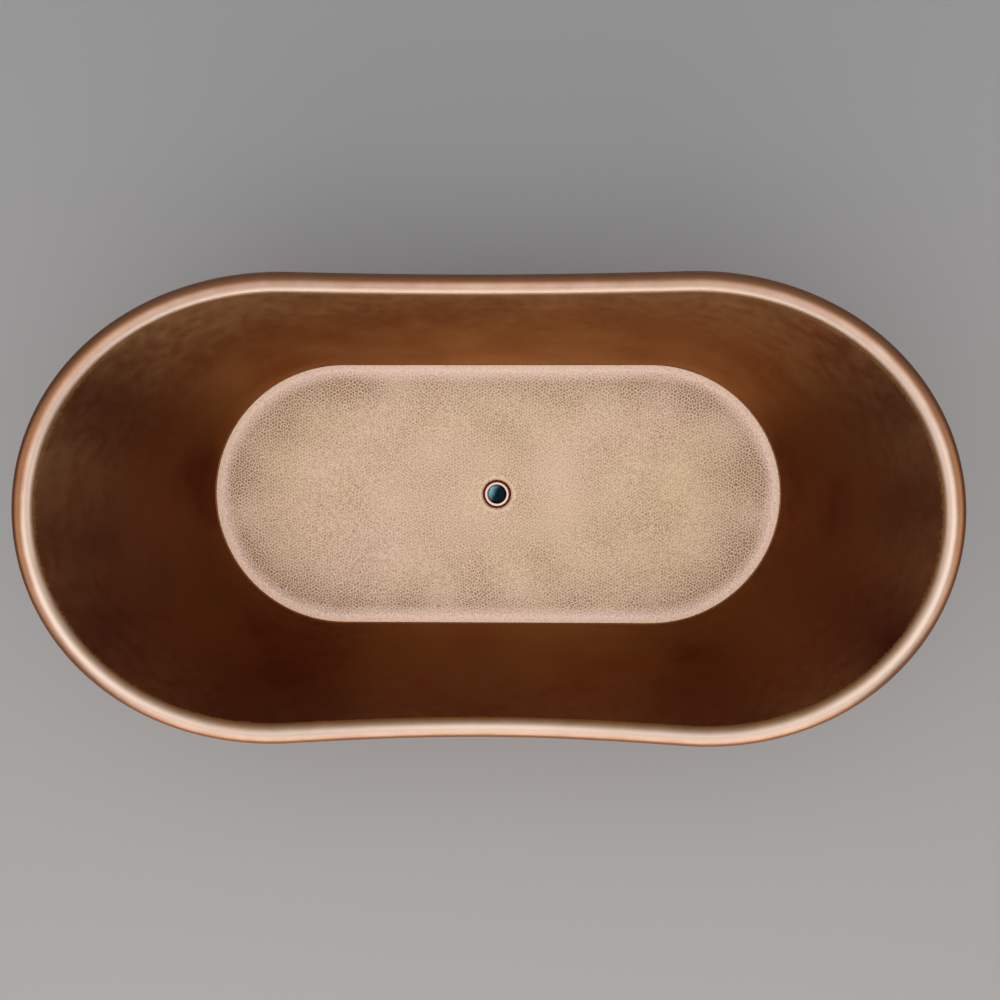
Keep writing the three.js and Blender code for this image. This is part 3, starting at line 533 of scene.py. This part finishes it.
# rim roll, with lengths in metres and turns in degrees
rim = {
    "diameter": 0.044, "sheet": 0.0016, "endStretch": 1.11, "lean": 22, "edgeGap": 0.001,
    "outerSteps": 48, "waver": 0.00035, "waverLength": 0.11,
    # where the buffed crown lies on the roll, and its shift from front to back and from end to end, which
    # turns the pale crown towards the lamps as a painted highlight
    "crownTurn": 113, "crownShift": 29, "crownSlip": -5,
    # how fast the outer flank darkens at the ends, and how much slower at the back and the front, as
    # painted shade that follows the lamps
    "endNarrow": 1.35, "backWidth": 0.75, "frontWidth": 0.3,
}
rimLow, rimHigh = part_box("rim_roll")
rimRadius = rim["diameter"] / 2
rimHalfLength = rimHigh.x - rimRadius
rimHalfWidth = rimHigh.y - rimRadius
rimEndHeight = rimHigh.z - rimRadius
rimSideHeight = rimLow.z + rimRadius
rollStart = math.radians(180 - rim["lean"])
rollSweep = 2 * math.pi - math.acos((rimRadius - rim["sheet"] - rim["edgeGap"]) / rimRadius)


def rimFrame(station):
    point, out = ovalAt(station, rimHalfLength, rimHalfWidth, rim["endStretch"])
    rate = math.pi / rimHalfLength
    rise = rimEndHeight - rimSideHeight
    point.z = rimSideHeight + rise * (1 - math.cos(rate * point.x)) / 2
    slope = rise / 2 * rate * math.sin(rate * point.x)
    forward = Vector((-out.y, out.x, -out.y * slope)).normalized()
    return point, out, out.cross(forward).normalized()


rimFrames = [rimFrame(station) for station in stations]


# The hand-rolled tube wavers a little, always inwards from its true size.
def onRoll(frame, radius, angle):
    centre, out, up = frame
    point = centre + (out * math.cos(angle) + up * math.sin(angle)) * radius
    dip = 0.5 + 0.5 * noise.noise(point / rim["waverLength"])
    return point - (out * math.cos(angle) + up * math.sin(angle)) * (rim["waver"] * dip)


rollTurns = [rollStart - rollSweep * n / rim["outerSteps"] for n in range(rim["outerSteps"] + 1)]
rollLines, fromCrown = [], []
for frameHere in rimFrames:
    outer = [onRoll(frameHere, rimRadius, turn) for turn in rollTurns]
    inner = [onRoll(frameHere, rimRadius - rim["sheet"], turn) for turn in reversed(rollTurns)]
    rollLines.append(outer + inner)
    # the pale crown is turned towards the lamps, to the front along the sides and inwards at the ends: a
    # painted highlight
    out = frameHere[1]
    crown = math.radians(rim["crownTurn"] + rim["crownShift"] * out.y + rim["crownSlip"] * out.x)
    outerShare = rim["endNarrow"] - (rim["backWidth"] if out.y > 0 else rim["frontWidth"]) * abs(out.y)
    away = [(turn - crown) * (outerShare if turn < crown else 1) for turn in rollTurns]
    fromCrown.append(away + away[::-1])
roll, _, _ = pullRings(rollLines, closed=True, markName="fromCrown", marks=fromCrown)
finishPiece("rimRoll", roll, "polishedCopper", "polished_copper", "bath", "rim_roll")
print("rim made")

# basin wall
wall = {
    "sheet": 0.0016, "leanAtFloor": 10, "leanAtRim": 22, "gap": 0.00005, "levels": 56, "buffShift": 0.007,
    # places where shade is painted into the patina, darker on the near walls, at the ends and along the
    # floor's far edge, or light is painted where the strength is below zero, high on the far wall, each
    # with its x, y, reach and strength
    "smoke": [
        (-0.47, -0.33, 0.27, 0.9), (0.46, -0.36, 0.24, 0.75), (0.67, -0.02, 0.24, 0.85),
        (0.62, 0.14, 0.12, 0.3), (-0.67, -0.01, 0.22, 0.6), (-0.64, 0.12, 0.16, 0.35),
        (-0.2, 0.3, 0.2, 0.2), (0.2, 0.3, 0.2, 0.2), (0, -0.42, 0.3, 0.55),
        (0.38, 0.38, 0.2, -0.4), (0.02, 0.4, 0.24, -0.25), (-0.87, -0.06, 0.1, 0.35),
        (-0.8, -0.26, 0.12, 0.45), (-0.8, 0.24, 0.1, 0.45), (0.87, 0.02, 0.1, 0.3),
        (0.8, -0.26, 0.12, 0.5), (0.8, 0.24, 0.1, 0.4),
    ],
}
# the wall stands on the turned-up edge of the floor pan
pan = {
    "sheet": 0.002, "curveSteps": 6, "curveRadius": 0.002, "fall": 0.006, "seamGap": 0.00015,
    "boreRadius": 0.0248, "recessRadius": 0.0347, "recessSlope": 0.001, "gasketGap": 0.0003,
    "lipFrom": 72, "lipTo": 80,  # degrees up the curve, over which the patina runs onto the lip
}
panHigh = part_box("floor_pan")[1]
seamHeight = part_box("basin_wall")[0].z
seamOut = pan["sheet"] * math.cos(math.radians(wall["leanAtFloor"]))
seamHalfLength = panHigh.x - seamOut
seamHalfWidth = panHigh.y - seamOut


def leaning(out, up, degrees):
    lean = math.radians(degrees)
    return up * math.cos(lean) + out * math.sin(lean)


wallLines = []
for station, frameHere in zip(stations, rimFrames):
    foot, out = ovalAt(station, seamHalfLength, seamHalfWidth)
    footWay = leaning(out, Vector((0, 0, 1)), wall["leanAtFloor"])
    rimWay = leaning(frameHere[1], frameHere[2], wall["leanAtRim"])
    foot += Vector((0, 0, seamHeight)) + footWay * wall["gap"]
    top = onRoll(frameHere, rimRadius, rollStart) - rimWay * wall["gap"]
    handle = (top - foot).length / 3
    wallLines.append(interpolate_bezier(
        foot, foot + footWay * handle, top - rimWay * handle, top, wall["levels"] + 1))
wallHeight = rimEndHeight - seamHeight
# the bare band below the rim is polish; it reaches further down at the back than at the front as a painted
# highlight where the far wall faces the lamps
toRim = [
    [wallHeight * (1 - n / wall["levels"]) - wall["buffShift"] * frameHere[1].y
     for n in range(wall["levels"] + 1)] for frameHere in rimFrames]
wallMesh, _, _ = pullRings(wallLines, markName="toRim", marks=toRim)
smoke = wallMesh.verts.layers.float.new("smoke")
outside = wallMesh.verts.layers.float.new("outside")
# painted shade and light on the inner face, summed from the places listed with the wall
for vert in wallMesh.verts:
    vert[smoke] = sum(
        strength * math.exp(-((vert.co.x - x) ** 2 + (vert.co.y - y) ** 2) / reach ** 2)
        for x, y, reach, strength in wall["smoke"])
insideVerts = set(wallMesh.verts)
thicken(wallMesh, wall["sheet"])
for vert in wallMesh.verts:
    if vert not in insideVerts:
        vert[smoke], vert[outside] = 0, 1
finishPiece("basinWall", wallMesh, "agedCopper", "dark_copper", "bath", "basin_wall")
print("walls made")

# hammered floor pan
hammer = {
    "mark": 0.0075, "depth": 0.0005, "fromCurve": 0.01, "fromWaste": 0.002, "seed": 11,
    # how far the lattice is shaken and settled, as shares of its pitch or of one mark
    "scatter": 0.36, "oddShare": 0.6, "settle": 0.4, "settlings": 2, "wander": 0.28, "offCentre": 0.1,
    "strengthSpread": 0.2, "depthSpread": 0.25,
    # the marks fade in from the edge, are worn towards the middle, less so at the ends, and patchy
    "fadeIn": 0.03, "worn": 0.42, "wornReach": 0.07, "endsFrom": 0.2, "endsTo": 0.5,
    "patch": 0.1, "patchSpread": 0.6,
    "tarnishPeak": 0.035, "tarnishRise": 0.03, "tarnishFall": 0.08,  # metres in from the edge
}
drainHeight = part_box("waste_body")[1].z
curveTurn = math.radians(90 - wall["leanAtFloor"])
edgeHeight = drainHeight + pan["fall"]
curveRadius = pan["curveRadius"]
lipRise = seamHeight - edgeHeight - curveRadius * (1 - math.cos(curveTurn))
curveReach = curveRadius * math.sin(curveTurn) + lipRise / math.tan(curveTurn)
floorHalfWidth = seamHalfWidth - curveReach
floorStraight = seamHalfLength - seamHalfWidth
brinkRadius = pan["recessRadius"] + pan["recessSlope"]
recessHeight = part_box("waste_gasket")[1].z + pan["sheet"] + pan["gasketGap"]


# How far the flat of the pan runs from its middle, in the direction of a point.
def flatReach(point):
    across, along = abs(point.y) / point.length, abs(point.x) / point.length
    if floorStraight * across >= floorHalfWidth * along:
        return floorHalfWidth / across
    return floorStraight * along + math.sqrt(floorHalfWidth ** 2 - (floorStraight * across) ** 2)


def panHeight(point):
    flat = Vector((point.x, point.y, 0))
    share = (flat.length - brinkRadius) / (flatReach(flat) - brinkRadius)
    return drainHeight + pan["fall"] * clamp(share)


def roundWaste(station, radius, height):
    point, _ = ovalAt(station, seamHalfLength, seamHalfWidth)
    point.length = radius
    point.z = height
    return point


panLines = []
for station in stations[::2]:  # every second one is fine enough for the pan
    curve, under = [], []
    for n in range(pan["curveSteps"] + 1):
        turn = curveTurn * n / pan["curveSteps"]
        for line, radius in ((curve, curveRadius), (under, curveRadius + pan["sheet"])):
            inset = curveReach - radius * math.sin(turn)
            point, _ = ovalAt(station, seamHalfLength - inset, seamHalfWidth - inset)
            point.z = edgeHeight + curveRadius - radius * math.cos(turn)
            line.append(point)
    for line, out in ((curve, 0), (under, seamOut)):
        point, _ = ovalAt(station, seamHalfLength + out, seamHalfWidth + out)
        point.z = seamHeight - pan["seamGap"] - out * math.tan(math.radians(wall["leanAtFloor"]))
        line.append(point)
    panLines.append([
        roundWaste(station, brinkRadius, drainHeight),
        roundWaste(station, pan["recessRadius"], recessHeight),
        roundWaste(station, pan["boreRadius"], recessHeight),
        roundWaste(station, pan["boreRadius"], recessHeight - pan["sheet"]),
        roundWaste(station, pan["recessRadius"] + pan["sheet"], recessHeight - pan["sheet"]),
        roundWaste(station, brinkRadius + pan["sheet"], drainHeight - pan["sheet"]),
        *under,
        *reversed(curve),
    ])
panMesh, brink, curveFoot = pullRings(panLines)
pit = panMesh.verts.layers.float.new("pit")
tarnish = panMesh.verts.layers.float.new("tarnish")
edge = panMesh.verts.layers.float.new("edge")
marked = panMesh.verts.layers.float.new("marked")

# The hammer marks start as a shaken lattice of triangles, some of whose edges are turned. Its
# corners are cut back by a third, which leaves marks with five to seven sides. Then their corners
# wander, and each mark is sunk into a shallow dish.
lattice = bmesh.new()
pitch = hammer["mark"] * math.sqrt(3)
rowPitch = pitch * math.sqrt(3) / 2
columns = 2 * math.ceil((floorStraight + floorHalfWidth) / pitch) + 2
rows = 2 * math.ceil(floorHalfWidth / rowPitch) + 2
bmesh.ops.create_grid(lattice, x_segments=columns, y_segments=rows, size=1)
for vert in lattice.verts:
    column = round((vert.co.x + 1) / 2 * columns)
    row = round((vert.co.y + 1) / 2 * rows)
    vert.co = ((column - columns / 2 + row % 2 / 2) * pitch, (row - rows / 2) * rowPitch, 0)
bmesh.ops.triangulate(lattice, faces=lattice.faces[:], quad_method="SHORT_EDGE")
dice = random.Random(hammer["seed"])
for vert in lattice.verts:
    vert.co.x += dice.uniform(-1, 1) * hammer["scatter"] * pitch
    vert.co.y += dice.uniform(-1, 1) * hammer["scatter"] * pitch
turned, touched = [], set()
for line in lattice.edges:
    corners = {vert for face in line.link_faces for vert in face.verts}
    if len(line.link_faces) == 2 and dice.random() < hammer["oddShare"] and not corners & touched:
        turned.append(line)
        touched |= corners
bmesh.ops.rotate_edges(lattice, edges=turned, use_ccw=False)
inland = [vert for vert in lattice.verts if not vert.is_boundary]
for _ in range(hammer["settlings"]):
    bmesh.ops.smooth_vert(lattice, verts=inland, factor=hammer["settle"], use_axis_x=True,
                          use_axis_y=True)
bmesh.ops.bevel(lattice, geom=lattice.verts[:], offset=100 / 3, offset_type="PERCENT",
                affect="VERTICES", segments=1, profile=0.5, material=-1)


def fromSpine(point):
    return math.hypot(point.x - min(max(point.x, -floorStraight), floorStraight), point.y)


beyond = [
    face for face in lattice.faces
    if max(fromSpine(vert.co) for vert in face.verts) > floorHalfWidth - hammer["fromCurve"]
    or min(vert.co.length for vert in face.verts) < brinkRadius + hammer["fromWaste"]
]
bmesh.ops.delete(lattice, geom=beyond, context="FACES")
side = hammer["mark"] / math.sqrt(3)
for vert in lattice.verts:
    if not vert.is_boundary:
        vert.co.x += dice.uniform(-1, 1) * hammer["wander"] * side
        vert.co.y += dice.uniform(-1, 1) * hammer["wander"] * side
field = bpy.data.meshes.new("field")
lattice.to_mesh(field)
lattice.free()
before = set(panMesh.faces)
panMesh.from_mesh(field)
bpy.data.meshes.remove(field)
marks = [face for face in panMesh.faces if face not in before]
ragged = [line for line in panMesh.edges if line.is_boundary and line.link_faces[0] not in before]
wasteReach = 3 * brinkRadius
raggedInner = [line for line in ragged if line.verts[0].co.length < wasteReach]
raggedOuter = [line for line in ragged if line.verts[0].co.length >= wasteReach]
for loops in (brink + raggedInner, raggedOuter + curveFoot):
    flat = {vert: vert.co.z for line in loops for vert in line.verts}
    for vert in flat:
        vert.co.z = 0
    bmesh.ops.triangle_fill(panMesh, edges=loops, use_beauty=True, use_dissolve=False, normal=(0, 0, 1))
    for vert, height in flat.items():
        vert.co.z = height


# How strongly the pan is marked at a point: fading out at the edge, strongest just inside it, and
# up to twice as fresh at the ends as along the sides.
def marking(point):
    inwards = floorHalfWidth - hammer["fromCurve"] - fromSpine(point)
    ends = clamp((abs(point.x) - hammer["endsFrom"]) / (hammer["endsTo"] - hammer["endsFrom"]))
    fresh = math.exp(-max(inwards - hammer["fadeIn"], 0) / hammer["wornReach"]) * (0.5 + 0.5 * ends)
    left = hammer["worn"] + (1 - hammer["worn"]) * fresh
    patchy = 1 + hammer["patchSpread"] * noise.noise(point / hammer["patch"])
    return clamp(inwards / hammer["fadeIn"]) * left * patchy


poked = bmesh.ops.poke(panMesh, faces=marks, offset=0, center_mode="MEAN")
for vert in {vert for face in poked["faces"] for vert in face.verts}:
    vert[marked] = clamp(marking(vert.co))
for vert in poked["verts"]:
    strength = vert[marked] * (1 + dice.uniform(-1, 1) * hammer["strengthSpread"])
    vert[pit] = 1
    vert[marked] = min(strength, 1)
    vert.co.x += dice.uniform(-1, 1) * hammer["offCentre"] * hammer["mark"]
    vert.co.y += dice.uniform(-1, 1) * hammer["offCentre"] * hammer["mark"]
    sunk = 1 + dice.uniform(-1, 1) * hammer["depthSpread"]
    vert.co.z -= hammer["depth"] * (0.5 + 0.5 * strength) * sunk  # wear leaves at least half
for vert in panMesh.verts:
    if vert.co.z > edgeHeight:
        steep = math.acos(max(1 - (vert.co.z - edgeHeight) / curveRadius, -1))
        vert[edge] = 1 + clamp((math.degrees(steep) - pan["lipFrom"]) / (pan["lipTo"] - pan["lipFrom"]))
    if abs(vert.co.z) < 2 * pan["sheet"]:  # the field, which is still at height nought
        inwards = floorHalfWidth - fromSpine(vert.co)
        vert[edge] = clamp(1 - (inwards - hammer["fromCurve"]) / hammer["fadeIn"])
        past = inwards - hammer["tarnishPeak"]
        vert[tarnish] = math.exp(
            -(past / hammer["tarnishRise"]) ** 2 if past < 0 else -past / hammer["tarnishFall"])
        vert.co.z += panHeight(vert.co)
bmesh.ops.recalc_face_normals(panMesh, faces=panMesh.faces)
finishPiece("floorPan", panMesh, "hammeredCopper", "hammered_copper", "bath", "floor_pan", smoothTo=40)
print("floor pan made, with", len(marks), "hammer marks")

# plinth and its bead
plinth = {
    "sheet": 0.0016, "flare": 0.034, "band": 0.024, "foot": 0.016, "ledge": 0.018, "coveSteps": 20,
    "beadRadius": 0.007, "beadSteps": 16, "beadGap": 0.0003,
    "toRim": 1,  # metres, so that no speckled edge shows
    "fromCrown": 0.7,  # radians, so that the bead is buffed as the side of the rim's crown is
}
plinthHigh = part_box("plinth_skirt")[1]
plinthOut = plinthHigh.x - plinth["flare"] - seamHalfLength
plinthTop = plinthHigh.z
coveTop = plinthTop - plinth["band"]
footOut = plinthOut + plinth["flare"]
beadOut = plinthOut + plinth["beadGap"]
beadTurns = [math.pi * (n / plinth["beadSteps"] - 0.5) for n in range(plinth["beadSteps"] + 1)]


def outFromSeam(station, out, height):
    point, _ = ovalAt(station, seamHalfLength + out, seamHalfWidth + out)
    point.z = height
    return point


plinthLines, beadLines = [], []
for station in stations:
    line = [outFromSeam(station, plinthOut, plinthTop)]
    for n in range(plinth["coveSteps"] + 1):
        share = n / plinth["coveSteps"]
        out = plinthOut + plinth["flare"] * (1 - math.cos(math.pi / 2 * share))
        line.append(outFromSeam(station, out, coveTop + (plinth["foot"] - coveTop) * share))
    line += [outFromSeam(station, footOut, 0), outFromSeam(station, footOut - plinth["ledge"], 0)]
    plinthLines.append(line)
    beadLines.append([
        outFromSeam(station, beadOut + plinth["beadRadius"] * math.cos(turn),
                    plinthTop - plinth["beadRadius"] + plinth["beadRadius"] * math.sin(turn))
        for turn in beadTurns])
plinthMesh, _, _ = pullRings(plinthLines, markName="toRim",
                             marks=[[plinth["toRim"]] * len(line) for line in plinthLines])
thicken(plinthMesh, plinth["sheet"])
outside = plinthMesh.verts.layers.float.new("outside")
for vert in plinthMesh.verts:
    vert[outside] = 1
finishPiece("plinthSkirt", plinthMesh, "agedCopper", "dark_copper", "bath", "plinth_skirt")
bead, _, _ = pullRings(beadLines, closed=True, markName="fromCrown",
                       marks=[[plinth["fromCrown"]] * len(line) for line in beadLines])
finishPiece("plinthBead", bead, "polishedCopper", "polished_copper", "bath", "plinth_bead")
print("plinth made")

# Waste, plug, frame and feet. Each fitting keeps the true form of its solid, with the loose
# triangles joined into whole faces and the sharp edges eased as turning, casting or moulding
# leaves them.
fittings = {
    # how the node's name starts, where the first line that fits counts: finish, slot, ease in metres
    "waste_body": ("wasteCopper", "waste_copper", 0.0003),
    "tail_pipe": ("wasteCopper", "waste_copper", 0.0003),
    "waste_top_seal": ("redSeal", "red_seal", 0.0004),
    "waste_gasket": ("blackRubber", "black_rubber", 0.0004),
    "tail_washer": ("blackRubber", "black_rubber", 0.0004),
    "plug_seal": ("blackRubber", "black_rubber", 0.0003),
    "foot_pad": ("blackRubber", "black_rubber", 0.0015),
    "floor_pad": ("blackRubber", "black_rubber", 0.001),
    "plug_cap": ("blackNickel", "black_nickel", 0.0004),
    "waste_friction_washer": ("turnedBrass", "brass", 0.0002),
    "waste_nut": ("turnedBrass", "brass", 0.0006),
    "tail_nut": ("turnedBrass", "brass", 0.0005),
    "plug_stem": ("turnedBrass", "brass", 0.0003),
    "cartridge_body": ("turnedBrass", "brass", 0.0003),
    "cartridge_spring": ("zincSteel", "zinc_steel", 0),
    "rim_core_tube": ("coreSteel", "core_steel", 0.0003),
    "frame": ("paintedSteel", "frame_steel", 0.0015),
    "foot": ("zincSteel", "zinc_steel", 0.0004),
    "cleat": ("zincSteel", "zinc_steel", 0.0004),
}
joining = {"merge": 1e-6, "flatWithin": 0.5, "sharpFrom": 50, "easeSteps": 2}  # metres and degrees


def fittingMesh(node, ease):
    mesh = bmesh.new()
    mesh.from_mesh(frame["nodes"][node].data)
    bmesh.ops.remove_doubles(mesh, verts=mesh.verts, dist=joining["merge"])
    bmesh.ops.dissolve_limit(mesh, angle_limit=math.radians(joining["flatWithin"]), verts=mesh.verts,
                             edges=mesh.edges)
    if ease:
        sharpFrom = math.radians(joining["sharpFrom"])
        sharp = [line for line in mesh.edges
                 if len(line.link_faces) == 2 and line.calc_face_angle() > sharpFrom]
        bmesh.ops.bevel(mesh, geom=sharp, offset=ease, offset_type="OFFSET", affect="EDGES",
                        segments=joining["easeSteps"], profile=0.5, material=-1, clamp_overlap=True)
    return mesh


for node, holder in frame["nodes"].items():
    kind = next((kind for kind in fittings if node.startswith(kind)), None)
    if kind:
        finish, slot, ease = fittings[kind]
        words = node.split("_")
        finishPiece(words[0] + "".join(word.title() for word in words[1:]), fittingMesh(node, ease),
                    finish, slot, holder.parent.name.split(":")[1], node)
print("fittings made")
